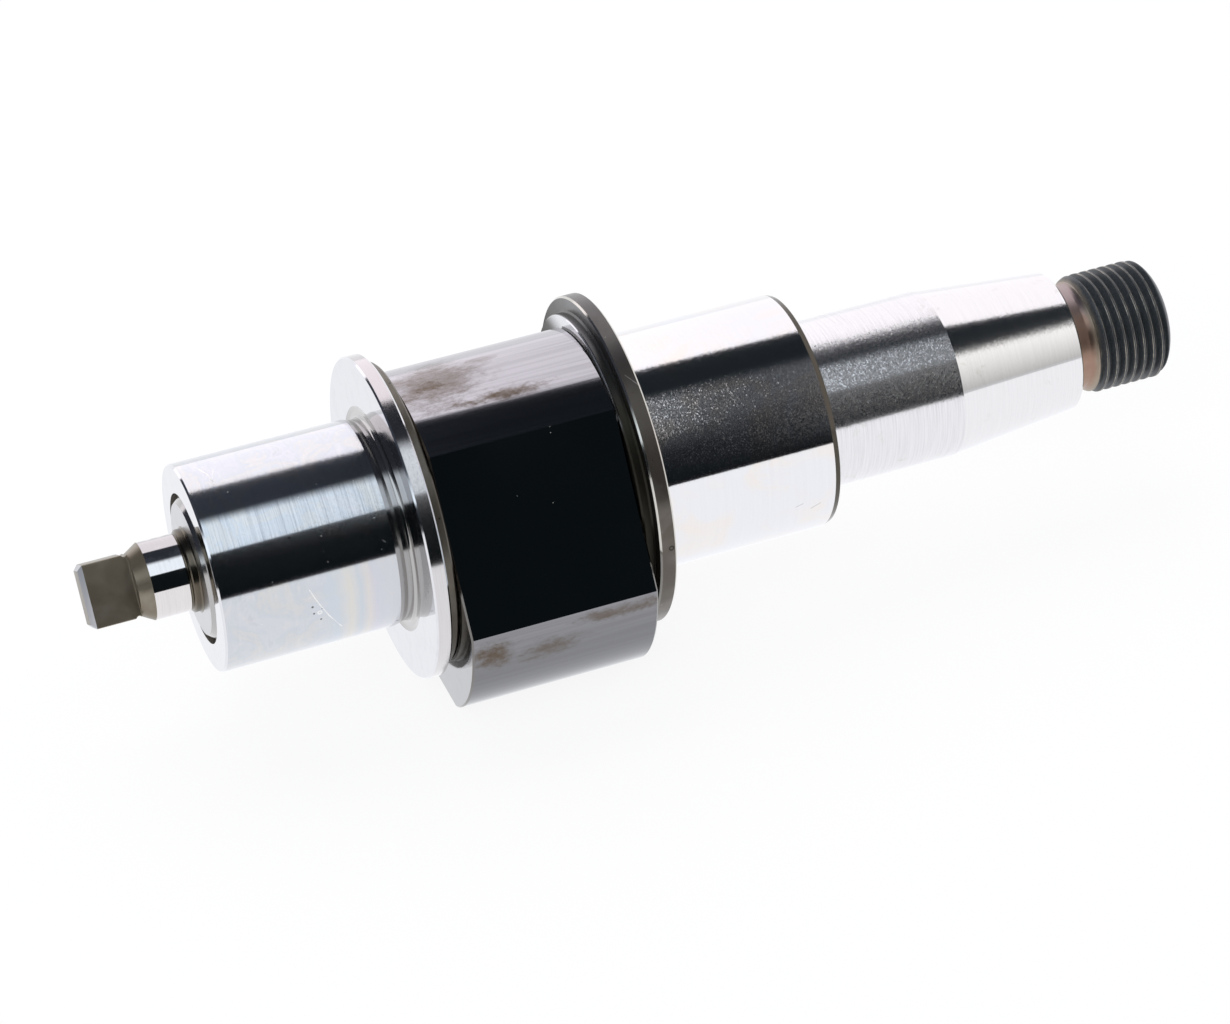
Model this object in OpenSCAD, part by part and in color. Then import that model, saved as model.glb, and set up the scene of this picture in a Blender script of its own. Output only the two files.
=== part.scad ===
// Eccentric drive shaft of a radial-piston pump, lying as it rests on a level floor.
// +X runs along the shaft from the tang to the thread, +Z is up.
// The origin is on the shaft axis, half way along the ground wall of the main journal.

/* [View] */
// Sub-part to show, or all

/* [Eccentric and thrust discs] */
// Offset of the eccentric from the shaft axis
eccentricity = 4.3; // [4:0.1:4.8]
// Angle of that offset from straight down toward the front, as the shaft lies at rest
roll = 31.9; // [-180:0.1:180]
// Radius of the eccentric
eccentric_r = 16; // [15.5:0.1:17]
// Distance between the two thrust bosses
eccentric_len = 28; // [22:0.1:34]
// Radius of the thrust bosses beside the ring
boss_r = 22.25; // [21.5:0.05:23]
// Length of each thrust boss
boss_len = 1.45; // [1:0.05:2.5]
// Radius of the disc beside the main journal
main_disc_r = 24.55; // [24:0.05:25]
// Thickness of the disc beside the main journal
main_disc_t = 2.45; // [2:0.05:4]
// Radius of the disc on the journal sleeve
sleeve_disc_r = 23.75; // [23.2:0.05:23.9]
// Thickness of the disc on the journal sleeve
sleeve_disc_t = 2.3; // [2:0.05:4]

/* [Main journal] */
// Radius of the main journal
main_r = 17.5; // [16:0.05:20]
// Length of the main journal with its relief and lead-in
main_len = 28.1; // [22:0.1:36]
// Length of the lead-in at its free end
main_lead = 0.8; // [0.5:0.1:1.5]
// Drop in radius over that lead-in
main_lead_drop = 0.25; // [0.1:0.05:0.5]

/* [Journal sleeve] */
// Radius of the journal on the sleeve
sleeve_r = 15.18; // [14:0.01:16.5]
// Length of the sleeve from its free end to the disc
sleeve_len = 28.1; // [22:0.1:36]
// Length of the edge break at its free end
sleeve_edge = 0.3; // [0.2:0.05:0.6]
// Drop in radius over that edge break
sleeve_edge_drop = 0.2; // [0.1:0.05:0.5]
// Radius of the core pin that the sleeve is pressed on
core_r = 11; // [10.5:0.05:11.5]
// Length that the core pin stands out of the sleeve
core_out = 0.35; // [0:0.05:1]
// Lead-in chamfer of the core pin
core_chamfer = 1.4; // [0.5:0.1:2]

/* [Reliefs and edges] */
// Length of the grinding relief on the main journal, beside the disc
main_relief = 2; // [1.5:0.05:3.5]
// Length of the grinding relief on the sleeve, beside its disc
sleeve_relief = 2.35; // [1.5:0.05:3.5]
// Depth of both reliefs below the journals
relief_depth = 0.35; // [0.2:0.05:0.5]
// Depth of the relief in the disc's face
relief_face = 0.17; // [0.05:0.01:0.3]
// Height that the relief reaches up the face above the journal
relief_up = 1.45; // [1:0.05:2.5]
// Fillet in the corner of the relief
relief_fillet = 0.5; // [0.3:0.05:0.8]
// Edge break on the discs and bosses
edge = 0.25; // [0.1:0.05:0.4]

/* [Drive end] */
// Radius of the straight ground length
straight_r = 12.5; // [11:0.05:14]
// Length of the straight ground part
straight_len = 21.9; // [15:0.1:30]
// Depth of the grinding relief where it meets the main journal
straight_relief = 0.2; // [0.1:0.05:0.4]
// Length of that relief
straight_relief_len = 1.4; // [0.8:0.1:2.5]
// Length of the 1 in 5 taper
taper_len = 20.2; // [15:0.1:25]
// Edge break at the small end of the taper
taper_edge = 0.3; // [0.2:0.05:0.6]
// Radius of the neck before the thread
neck_r = 7.95; // [7:0.05:8.2]
// Length from the taper to the first full thread
neck_len = 4.4; // [3.8:0.1:6]
// Fillet between the neck and the end of the taper
neck_fillet = 0.6; // [0.3:0.05:0.9]
// Length of the slope from the neck up to the thread
neck_slope = 2; // [1.5:0.1:2.5]
// Outer radius of the thread
thread_r = 9; // [8.8:0.05:9.5]
// Pitch of the thread, whose helix is a row of plain grooves here
thread_pitch = 1.5; // [1.3:0.05:2]
// Width of the thread's crests
crest_w = 0.3; // [0.2:0.02:0.4]
// Width of the thread's root
groove_w = 0.14; // [0.1:0.02:0.3]
// Length of the thread with its rounded end
thread_len = 11.2; // [8:0.1:16]
// Length of that rounded end
thread_end = 1.6; // [1:0.1:2.5]
// Bulge of the rounded end beyond a plain chamfer
thread_bulge = 0.35; // [0.1:0.05:0.4]
// Mouth radius of the turning centre in the thread's end
centre_r = 4.15; // [3:0.05:5]
// Depth of that turning centre
centre_depth = 7; // [5:0.1:9]

/* [Tang end] */
// Radius of the stub
stub_r = 5.65; // [5.4:0.05:6.5]
// Length of the stub from the core pin to the cone
stub_len = 6.7; // [4:0.1:10]
// Length of the unground root of the stub
stub_root = 1.6; // [1:0.1:2.5]
// Height of the root above the stub
stub_root_rise = 0.38; // [0.2:0.02:0.8]
// Depth of the tool groove between the stub and its root
stub_groove = 0.12; // [0.05:0.01:0.2]
// Fillet between the root and the core pin's face
stub_fillet = 0.3; // [0.1:0.05:0.5]
// Length of the cone
cone_len = 1.95; // [1:0.05:3]
// Radius where the cone meets the tang
cone_r = 4.5; // [4.2:0.05:4.55]
// Length of the tang
tang_len = 7.25; // [5:0.05:10]
// Width of the tang
tang_w = 9.2; // [9.1:0.05:9.6]
// Thickness across the two flats
tang_t = 4.8; // [3:0.1:6]
// Chamfer at the end of the tang
tang_chamfer = 0.7; // [0.3:0.05:1]
// Depth of the notch in each narrow side at the tang's root
notch_depth = 0.3; // [0.1:0.05:0.5]
// Length of that notch
notch_len = 0.8; // [0.5:0.05:1.2]

/* [Ring] */
// Radius of the ring's round outside
ring_r = 24.7; // [23.8:0.05:26]
// Distance of each flat from the middle of the ring
ring_flat = 20.9; // [20.6:0.05:21.5]
// Axial play of the ring at each boss
ring_play = 0.1; // [0.05:0.05:0.3]
// Edge chamfer of the ring's round faces
ring_chamfer = 0.25; // [0.1:0.05:0.6]
// Edge chamfer of the ring's flats
flat_chamfer = 0.3; // [0.15:0.05:0.7]
// Wall of the bearing bush
bush_t = 1.5; // [1:0.1:2]
// Radial running clearance of the bush on the eccentric
bush_gap = 0.03; // [0.01:0.005:0.08]
// Length that the bush lies inside the ring's face at each end
bush_in = 0.5; // [0.2:0.1:2]
// Edge chamfer of the bush
bush_chamfer = 0.3; // [0.1:0.05:0.5]

/* [Hidden] */
$fn = 96;

// places along the shaft, counted from the shoulder of the main disc
x_disc = -main_disc_t;
x_boss = x_disc - boss_len;
x_ecc = x_boss - eccentric_len;
x_sboss = x_ecc - boss_len;
x_sdisc = x_sboss - sleeve_disc_t;
x_sleeve = x_sdisc - sleeve_len;
x_core = x_sleeve - core_out;
x_cone = x_core - stub_len;
x_root = x_cone - cone_len;
x_tang = x_root - tang_len;
x_taper = main_len + straight_len;
x_neck = x_taper + taper_len;
x_thread = x_neck + neck_len;
x_end = x_thread + thread_len;

// moves the middle of the main journal's ground wall to the origin
x_shift = -(main_relief + main_len - main_lead) / 2;

taper_r = straight_r - taper_len / 10;
tang_bar_r = norm([tang_w, tang_t]) / 2;
root_r = stub_r + stub_root_rise;
// length of the bar's full round left between the tang's cuts and the cone
tang_lip = 0.1;
// length that one turned form reaches into the next, so that they join
lap = 1;
outside = ring_r + lap;

// centre of the eccentric and of the ring on it; at rest the ring lies on one of its flats
// and the main disc on its rim, both on the floor
ecc_y = -eccentricity * sin(roll);
ecc_z = -eccentricity * cos(roll);
ecc_mid = x_shift + x_ecc + eccentric_len / 2;

ring_half = eccentric_len / 2 - ring_play;
bush_half = ring_half - bush_in;
bush_inner_r = eccentric_r + bush_gap;
bush_outer_r = bush_inner_r + bush_t;

// a point list is [radius, place along X]; an arc in it turns about the point [r, x]
function arc(r, x, radius, from, to, steps = 4) =
    [for (i = [0:steps])
        let (a = from + (to - from) * i / steps)
        [r + radius * cos(a), x + radius * sin(a)]];

// an S-shaped slope from one radius to another over a length along X; each row gives how
// far along it a point is, and how much of the rise it has
slope_shape = [[0, 0], [0.25, 0.12], [0.5, 0.52], [0.8, 0.81], [1, 1]];
function slope(r_from, r_to, x, len) =
    [for (s = slope_shape) [r_from + (r_to - r_from) * s[1], x + len * s[0]]];

function reversed(list) = [for (i = [len(list) - 1:-1:0]) list[i]];

// the relief of length len between a journal of radius r and a disc's face at x, from
// journal to face; the disc lies to the side +1 or -1 of its face
function relief(r, x, side, len) = concat(
    [[r, x - side * len],
     [r - relief_depth, x - side * len / 2]],
    arc(r - relief_depth + relief_fillet, x + side * (relief_face - relief_fillet),
        relief_fillet, 180, side > 0 ? 90 : 270),
    [[r + relief_up / 2, x + side * relief_face],
     [r + relief_up, x]]);

// a disc's rim of radius r from x = from to x = to, with both edges broken
function rim(r, from, to) = [
    [r - edge, from], [r, from + edge], [r, to - edge], [r - edge, to]];

// the crests and grooves that fit in the length len from x on; the sides of each groove
// stand thirty degrees off square
function thread_grooves(x, len) =
    let (side = (thread_pitch - crest_w - groove_w) / 2,
         root = thread_r - side / tan(30))
    [for (i = [1:floor((len - crest_w) / thread_pitch)])
        let (crest = x + i * thread_pitch)
        each [[thread_r, crest - thread_pitch + crest_w],
              [root, crest - side - groove_w],
              [root, crest - side],
              [thread_r, crest]]];

// a turned piece about the shaft axis
module turned(points) {
    translate([x_shift, 0, 0]) rotate([0, 90, 0]) rotate_extrude() polygon(points);
}

// what is cut from the bar to leave one side of the tang at the height half; the side that
// has a notch at its root dips there by depth
module tang_cut(half, depth) {
    end = x_root - tang_lip;
    translate([0, 0, -tang_bar_r - lap])
    linear_extrude(2 * (tang_bar_r + lap))
    polygon([
        [x_tang - lap, half - tang_chamfer],
        [x_tang, half - tang_chamfer],
        [x_tang + tang_chamfer, half],
        [end - notch_len, half],
        [end - notch_len * 0.7, half - depth],
        [end - notch_len * 0.3, half - depth],
        [end, half - depth / 2],
        [end, tang_bar_r + lap],
        [x_tang - lap, tang_bar_r + lap]
    ]);
}

module tang_cuts() {
    translate([x_shift, 0, 0]) rotate([-roll, 0, 0])
        for (a = [0:90:270])
            rotate([a, 0, 0])
                if (a % 180 == 0) tang_cut(tang_t / 2, 0);
                else tang_cut(tang_w / 2, notch_depth);
}

module tang_and_core() {
    x_groove = x_core - stub_root;
    difference() {
        turned(concat(
            [[0, x_tang],
             [tang_bar_r, x_tang],
             [tang_bar_r, x_root - tang_lip],
             [cone_r, x_root],
             [stub_r, x_cone],
             [stub_r, x_groove],
             [stub_r - stub_groove, x_groove + stub_groove]],
            slope(stub_r - stub_groove, root_r, x_groove + 2 * stub_groove, stub_root_rise),
            arc(root_r + stub_fillet, x_core - stub_fillet, stub_fillet, 180, 90, 3),
            [[core_r - core_chamfer, x_core],
             [core_r, x_core + core_chamfer],
             [core_r, x_ecc + lap],
             [0, x_ecc + lap]]));
        tang_cuts();
    }
}

module eccentric() {
    translate([x_shift + x_ecc, ecc_y, ecc_z]) rotate([0, 90, 0])
        cylinder(r = eccentric_r, h = eccentric_len + lap);
}

module discs_and_drive_end() {
    difference() {
        turned(concat(
            [[0, x_boss],
             [boss_r - edge, x_boss],
             [boss_r, x_boss + edge],
             [boss_r, x_disc - edge],
             [boss_r + edge, x_disc]],
            rim(main_disc_r, x_disc, 0),
            reversed(relief(main_r, 0, -1, main_relief)),
            [[main_r, main_len - main_lead],
             [main_r - main_lead_drop, main_len],
             [straight_r + 3 * straight_relief, main_len],
             [straight_r + straight_relief, main_len - straight_relief],
             [straight_r, main_len - straight_relief],
             [straight_r - straight_relief, main_len],
             [straight_r - straight_relief, main_len + straight_relief_len / 2],
             [straight_r, main_len + straight_relief_len],
             [straight_r, x_taper],
             [taper_r + taper_edge / 10, x_neck - taper_edge],
             [taper_r - taper_edge, x_neck]],
            reversed(arc(neck_r + neck_fillet, x_neck + neck_fillet, neck_fillet, 180, 270, 3)),
            slope(neck_r, thread_r, x_thread - neck_slope, neck_slope),
            thread_grooves(x_thread, thread_len - thread_end),
            [[thread_r, x_end - thread_end],
             [thread_r - thread_end / 2 + thread_bulge, x_end - thread_end / 2],
             [thread_r - thread_end, x_end],
             [0, x_end]]));
        turning_centre();
    }
}

// a centre hole with a sixty degree mouth
module turning_centre() {
    drill_r = centre_r / 2;
    mouth = (centre_r - drill_r) / tan(30);
    turned([
        [0, x_end - centre_depth - drill_r / 2],
        [drill_r, x_end - centre_depth],
        [drill_r, x_end - mouth],
        [centre_r, x_end],
        [centre_r, x_end + lap],
        [0, x_end + lap]
    ]);
}

module shaft() {
    color([0.62, 0.62, 0.63]) {
        tang_and_core();
        eccentric();
        discs_and_drive_end();
    }
}

module journal_sleeve() {
    color([0.72, 0.72, 0.74])
        turned(concat(
            [[core_r, x_sleeve],
             [sleeve_r - sleeve_edge_drop, x_sleeve],
             [sleeve_r, x_sleeve + sleeve_edge]],
            relief(sleeve_r, x_sdisc, 1, sleeve_relief),
            rim(sleeve_disc_r, x_sdisc, x_sboss),
            [[boss_r + edge, x_sboss],
             [boss_r, x_sboss + edge],
             [boss_r, x_ecc - edge],
             [boss_r - edge, x_ecc],
             [core_r, x_ecc]]));
}

// what is cut from the ring to leave its flat on the underside, with chamfered ends
module ring_flat_cut() {
    skirt = flat_chamfer + lap;
    rotate([90, 0, 0])
    translate([0, 0, -outside])
    linear_extrude(2 * outside)
    polygon([
        [-ring_half - lap, skirt - ring_flat],
        [-ring_half + flat_chamfer, -ring_flat],
        [ring_half - flat_chamfer, -ring_flat],
        [ring_half + lap, skirt - ring_flat],
        [ring_half + lap, -outside],
        [-ring_half - lap, -outside]
    ]);
}

module polygon_ring() {
    color([0.56, 0.55, 0.55])
    translate([ecc_mid, ecc_y, ecc_z])
    difference() {
        rotate([0, 90, 0]) rotate_extrude()
            polygon([
                [bush_outer_r + ring_chamfer, -ring_half],
                [ring_r - ring_chamfer, -ring_half],
                [ring_r, -ring_half + ring_chamfer],
                [ring_r, ring_half - ring_chamfer],
                [ring_r - ring_chamfer, ring_half],
                [bush_outer_r + ring_chamfer, ring_half],
                [bush_outer_r, ring_half - ring_chamfer],
                [bush_outer_r, -ring_half + ring_chamfer]
            ]);
        for (a = [0, 120, 240]) rotate([a, 0, 0]) ring_flat_cut();
    }
}

module ring_bush() {
    c = bush_chamfer;
    color([0.68, 0.6, 0.46])
    translate([ecc_mid, ecc_y, ecc_z])
    rotate([0, 90, 0]) rotate_extrude()
        polygon([
            [bush_inner_r + c, -bush_half],
            [bush_outer_r - c, -bush_half],
            [bush_outer_r, -bush_half + c],
            [bush_outer_r, bush_half - c],
            [bush_outer_r - c, bush_half],
            [bush_inner_r + c, bush_half],
            [bush_inner_r, bush_half - c],
            [bush_inner_r, -bush_half + c]
        ]);
}

shaft();
journal_sleeve();
polygon_ring();
ring_bush();
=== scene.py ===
"""Eccentric pump shaft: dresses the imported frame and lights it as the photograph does."""
import math
import bmesh
import bpy
from mathutils import Matrix, Vector


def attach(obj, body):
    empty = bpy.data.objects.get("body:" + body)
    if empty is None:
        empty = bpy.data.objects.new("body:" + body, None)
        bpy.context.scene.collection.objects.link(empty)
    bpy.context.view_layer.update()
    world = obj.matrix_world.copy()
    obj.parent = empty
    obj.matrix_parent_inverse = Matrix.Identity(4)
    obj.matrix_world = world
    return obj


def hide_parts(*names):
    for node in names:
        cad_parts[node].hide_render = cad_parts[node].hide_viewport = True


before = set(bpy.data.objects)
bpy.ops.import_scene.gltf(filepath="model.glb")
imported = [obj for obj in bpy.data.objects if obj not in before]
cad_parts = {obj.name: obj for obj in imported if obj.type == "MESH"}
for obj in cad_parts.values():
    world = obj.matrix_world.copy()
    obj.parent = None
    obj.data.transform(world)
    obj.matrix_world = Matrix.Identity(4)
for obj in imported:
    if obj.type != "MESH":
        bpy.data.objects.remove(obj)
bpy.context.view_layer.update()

# ------------------------------------------------------------------ sizes, in millimetres
# The same values as in part.scad; R is a radius, CH a chamfer, X a place along the shaft that is
# measured from the main disc's shoulder.
MM = 0.001
SHIFT = -14.65           # from that shoulder to the frame's origin
ECC = 4.3
ROLL = math.radians(31.9)
ECC_Y, ECC_Z = -ECC * math.sin(ROLL), -ECC * math.cos(ROLL)
ECC_R, ECC_LEN = 16.0, 28.0
BOSS_R, BOSS_LEN = 22.25, 1.45
DISC_R, DISC_T = 24.55, 2.45
SDISC_R, SDISC_T = 23.75, 2.3
MAIN_R, MAIN_LEN, MAIN_LEAD, MAIN_DROP = 17.5, 28.1, 0.8, 0.25
SLEEVE_R, SLEEVE_LEN, SLEEVE_EDGE = 15.18, 28.1, 0.3
CORE_R, CORE_OUT, CORE_CH = 11.0, 0.35, 1.4
RELIEF_DEPTH, RELIEF_FACE, RELIEF_UP, RELIEF_FILLET = 0.35, 0.17, 1.45, 0.5
MAIN_RELIEF, SLEEVE_RELIEF = 2.0, 2.35
EDGE = 0.25
STRAIGHT_R, STRAIGHT_LEN = 12.5, 21.9
STR_RELIEF, STR_RELIEF_LEN = 0.2, 1.4
TAPER_LEN, TAPER_EDGE = 20.2, 0.3
NECK_R, NECK_LEN, NECK_FILLET, NECK_SLOPE = 7.95, 4.4, 0.6, 2.0
THREAD_R, THREAD_LEN, THREAD_END, THREAD_BULGE = 9.0, 11.2, 1.6, 0.35
CENTRE_R, CENTRE_DEPTH = 4.15, 7.0
STUB_R, STUB_LEN, STUB_ROOT, ROOT_RISE, STUB_GROOVE, STUB_FILLET = 5.65, 6.7, 1.6, 0.38, 0.12, 0.3
CONE_LEN, CONE_R = 1.95, 4.5
TANG_LEN, TANG_W, TANG_T, TANG_CH, TANG_FOOT = 7.25, 9.2, 4.8, 0.7, 0.1
NOTCH, NOTCH_LEN = 0.3, 0.8
TANG_PIN_R, OVERLAP = 2.0, 1.0          # unseen: how the pieces of the shaft reach into each other
RING_R, RING_FLAT, RING_PLAY, RING_CH, FLAT_CH = 24.7, 20.9, 0.1, 0.25, 0.3
BUSH_T, BUSH_GAP = 1.5, 0.03
PITCH, CREST_FLAT, ROOT_R, ROOT_ROUND = 1.5, 0.28, 8.08, 0.21

X_DISC = -DISC_T
X_BOSS = X_DISC - BOSS_LEN
X_ECC = X_BOSS - ECC_LEN
X_SBOSS = X_ECC - BOSS_LEN
X_SDISC = X_SBOSS - SDISC_T
X_SLEEVE = X_SDISC - SLEEVE_LEN
X_CORE = X_SLEEVE - CORE_OUT
X_CONE = X_CORE - STUB_LEN
X_ROOT = X_CONE - CONE_LEN
X_TANG = X_ROOT - TANG_LEN
X_TAPER = MAIN_LEN + STRAIGHT_LEN
X_NECK = X_TAPER + TAPER_LEN
X_THREAD = X_NECK + NECK_LEN
X_END = X_THREAD + THREAD_LEN
FLOOR_Z = -24.55
AROUND = 240             # divisions round the turned pieces
ARC_STEPS = 8
FLANK = math.tan(math.radians(30))      # of the thread and of the centre hole's mouth


# ------------------------------------------------------------------ shader graph helper
class Graph:
    """Adds nodes to a tree from short calls; a value may be a number, a tuple or a socket."""

    def __init__(self, tree):
        self.tree = tree

    def put(self, socket, value):
        if isinstance(value, bpy.types.NodeSocket):
            self.tree.links.new(value, socket)
        elif value is not None:
            if socket.type == "RGBA" and len(value) == 3:
                value = (*value, 1.0)
            socket.default_value = value

    def node(self, kind, out=0, props=None, **inputs):
        n = self.tree.nodes.new("ShaderNode" + kind)
        for key, value in (props or {}).items():
            setattr(n, key, value)
        for key, value in inputs.items():
            numbered = key[0] == "i" and key[1:].isdigit()
            self.put(n.inputs[int(key[1:]) if numbered else key.replace("_", " ")], value)
        return n.outputs[out]

    def math(self, op, a, b=None, clamp=False):
        return self.node("Math", props={"operation": op, "use_clamp": clamp}, i0=a, i1=b)

    def vector(self, op, out=0, **inputs):
        """A vector operation; one that gives a number, such as a length, gives it as output 1."""
        return self.node("VectorMath", out=out, props={"operation": op}, **inputs)

    def add(self, a, b):
        return self.math("ADD", a, b)

    def mul(self, a, b):
        return self.math("MULTIPLY", a, b)

    def sub(self, a, b):
        return self.math("SUBTRACT", a, b)

    def step(self, value, low, high):
        """0 below low, 1 above high, smooth between."""
        return self.node("MapRange", props={"interpolation_type": "SMOOTHSTEP"},
                         Value=value, From_Min=low, From_Max=high)

    def band(self, value, low, high, low_end, high_end):
        """1 from high to low_end, with soft sides down to low and high_end."""
        return self.sub(self.step(value, low, high), self.step(value, low_end, high_end))

    def scaled(self, vector, x, y, z):
        return self.vector("MULTIPLY", i0=vector, i1=(x, y, z))

    def point(self):
        """Place on the object in millimetres."""
        co = self.node("TexCoord", out=3)
        return self.scaled(co, 1 / MM, 1 / MM, 1 / MM)

    def split(self, vector):
        n = self.tree.nodes.new("ShaderNodeSeparateXYZ")
        self.put(n.inputs[0], vector)
        return n.outputs[0], n.outputs[1], n.outputs[2]

    def noise(self, vector, scale=1.0, detail=3.0, rough=0.55, distort=0.0):
        return self.node("TexNoise", Vector=vector, Scale=scale, Detail=detail, Roughness=rough,
                         Distortion=distort)

    def rings(self, point, across, along):
        """Noise in fine rings round the shaft. The radius counts too, so that they stay rings on
        steep faces."""
        x, y, z = self.split(point)
        r = self.vector("LENGTH", out=1, i0=self.scaled(point, 0, 1, 1))
        over = self.mul(self.add(x, self.mul(r, 0.8)), across)
        place = self.node("CombineXYZ", i0=over, i1=self.mul(y, along), i2=self.mul(z, along))
        return self.noise(place, detail=4.0, rough=0.75)

    def cells(self, vector, scale):
        """The distance to the nearest cell's centre, and that cell's random colour."""
        n = self.tree.nodes.new("ShaderNodeTexVoronoi")
        self.put(n.inputs["Vector"], vector)
        n.inputs["Scale"].default_value = scale
        return n.outputs["Distance"], n.outputs["Color"]

    def spots(self, vector, scale, radius, share):
        """Round spots of the given radius in cell units; share is how many cells have one."""
        distance, colour = self.cells(vector, scale)
        picked = self.math("LESS_THAN", self.node("SeparateColor", i0=colour), share)
        return self.mul(self.math("LESS_THAN", distance, radius), picked)

    def near(self, vector, centre, radius, soft):
        """1 inside the given radius of a point, in millimetres."""
        d = self.vector("DISTANCE", out=1, i0=vector, i1=centre)
        return self.sub(1.0, self.step(d, radius - soft, radius + soft))

    def scratch(self, vector, a, b, width):
        """1 along the straight line from a to b, in millimetres."""
        a, b = Vector(a), Vector(b)
        way = b - a
        rel = self.vector("SUBTRACT", i0=vector, i1=tuple(a))
        dot = self.vector("DOT_PRODUCT", out=1, i0=rel, i1=tuple(way))
        t = self.math("MULTIPLY", dot, 1 / way.length_squared, clamp=True)
        foot = self.vector("SCALE", i0=tuple(way), Scale=t)
        d = self.vector("DISTANCE", out=1, i0=rel, i1=foot)
        return self.sub(1.0, self.step(d, width * 0.3, width))

    def blot(self, vector, centre, size, noise, ragged):
        """A soft blot with ragged sides; size is its half length along X, Y and Z."""
        inv = tuple(1 / c for c in size)
        at = tuple(c * i for c, i in zip(centre, inv))
        d = self.vector("DISTANCE", out=1, i0=self.scaled(vector, *inv), i1=at)
        fray = self.mul(self.sub(noise, 0.5), ragged)
        return self.step(self.add(self.sub(1.0, d), fray), 0.0, 0.8)

    def most(self, *values):
        out = values[0]
        for v in values[1:]:
            out = self.math("MAXIMUM", out, v)
        return out

    def ramp(self, value, *stops):
        n = self.tree.nodes.new("ShaderNodeValToRGB")
        self.put(n.inputs[0], value)
        el = n.color_ramp.elements
        while len(el) < len(stops):
            el.new(0.5)
        for e, (place, colour) in zip(el, stops):
            e.position = place
            e.color = (*colour, 1.0)
        return n.outputs[0]

    def mix(self, fac, a, b):
        n = self.tree.nodes.new("ShaderNodeMix")
        n.data_type = "RGBA"
        self.put(n.inputs[0], fac)
        self.put(n.inputs[6], a)
        self.put(n.inputs[7], b)
        return n.outputs[2]

    def blend(self, fac, a, b):
        """Mixes two numbers."""
        n = self.tree.nodes.new("ShaderNodeMix")
        self.put(n.inputs[0], fac)
        self.put(n.inputs[2], a)
        self.put(n.inputs[3], b)
        return n.outputs[0]

    def glints(self, point, tilt, lean=0.5):
        """The surface's normal, tipped at random in each small grain, mostly along the shaft; most
        grains tip far less than tilt, and a lean above 0.5 tips more of them towards the tang."""
        _, colour = self.cells(self.scaled(point, 8.5, 6.0, 6.0), 1.0)
        around = self.scaled(self.vector("SUBTRACT", i0=colour, i1=(lean, 0.5, 0.5)), 2.0, 0.3, 0.3)
        amount = self.math("POWER", self.node("SeparateColor", out=2, i0=colour), 1.6)
        shift = self.vector("SCALE", i0=around, Scale=self.mul(amount, tilt))
        total = self.vector("ADD", i0=self.node("NewGeometry", out=1), i1=shift)
        return self.vector("NORMALIZE", i0=total)

    def bump(self, height, micrometres, normal=None):
        return self.node("Bump", Height=height, Strength=1.0, Distance=micrometres * 1e-6,
                         Normal=normal)


def material(name):
    m = bpy.data.materials.new(name)
    m.use_nodes = True
    m.node_tree.nodes.clear()
    return m, Graph(m.node_tree)


def metal(g, colour, rough, normal=None, aniso=0.0, metallic=1.0):
    """A principled metal; aniso draws its highlights out across the lines round the shaft."""
    n = g.tree.nodes.new("ShaderNodeBsdfPrincipled")
    g.put(n.inputs["Base Color"], colour)
    g.put(n.inputs["Roughness"], rough)
    g.put(n.inputs["Metallic"], metallic)
    if normal is not None:
        g.put(n.inputs["Normal"], normal)
    if aniso:
        n.inputs["Anisotropic"].default_value = aniso
        n.inputs["Anisotropic Rotation"].default_value = 0.25
        tangent = g.node("Tangent", props={"direction_type": "RADIAL", "axis": "X"})
        g.put(n.inputs["Tangent"], tangent)
    out = g.tree.nodes.new("ShaderNodeOutputMaterial")
    g.put(out.inputs["Surface"], n.outputs[0])


# ------------------------------------------------------------------ materials
def darker(colour, share):
    return tuple(c * share for c in colour)


def ground_steel(name, colour, rough, aniso, lines_um, tilt=0.0, lean=0.5, streak=0.1, along=0.09,
                 stain=None, blotches=None, marks=(), top=None):
    """Ground steel: lines round the shaft, lines_um micrometres deep, and a grain that sparkles,
    which tips the surface by up to tilt. stain and blotches are the colours of wide and of small
    faint stains, marks are short scratches, top is (low z, high z, colour) for a mottled painted
    shade on its upper side."""
    m, g = material(name)
    p = g.point()
    line = g.rings(p, 4.5, along)
    base = colour
    # painted shade: top darkens the upper side, from low z to high z, with a mottled edge
    if top:
        low, high, shade = top
        patch = g.mul(g.sub(g.noise(p, scale=0.6, detail=4.0), 0.5), 2.0)
        base = g.mix(g.step(g.add(g.split(p)[2], patch), low, high), base, shade)
    if stain:
        cloud = g.noise(p, scale=0.11, detail=3.0, distort=1.2)
        base = g.mix(g.mul(g.step(cloud, 0.42, 0.68), 0.6), base, stain)
    if blotches:
        blotch = g.noise(g.scaled(p, 0.25, 0.34, 0.34), detail=5.0, rough=0.65, distort=0.6)
        base = g.mix(g.mul(g.step(blotch, 0.58, 0.78), 0.45), base, blotches)
    base = g.mix(g.mul(g.step(line, 0.35, 0.75), streak), base, darker(colour, 0.55))
    for a, b, width in marks:
        base = g.mix(g.mul(g.scratch(p, a, b, width), 0.55), base, (0.34, 0.32, 0.30))
    rough_map = g.add(rough, g.mul(g.sub(line, 0.5), rough * 0.5))
    metal(g, base, rough_map, g.bump(line, lines_um, g.glints(p, tilt, lean)), aniso)
    return m


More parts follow.
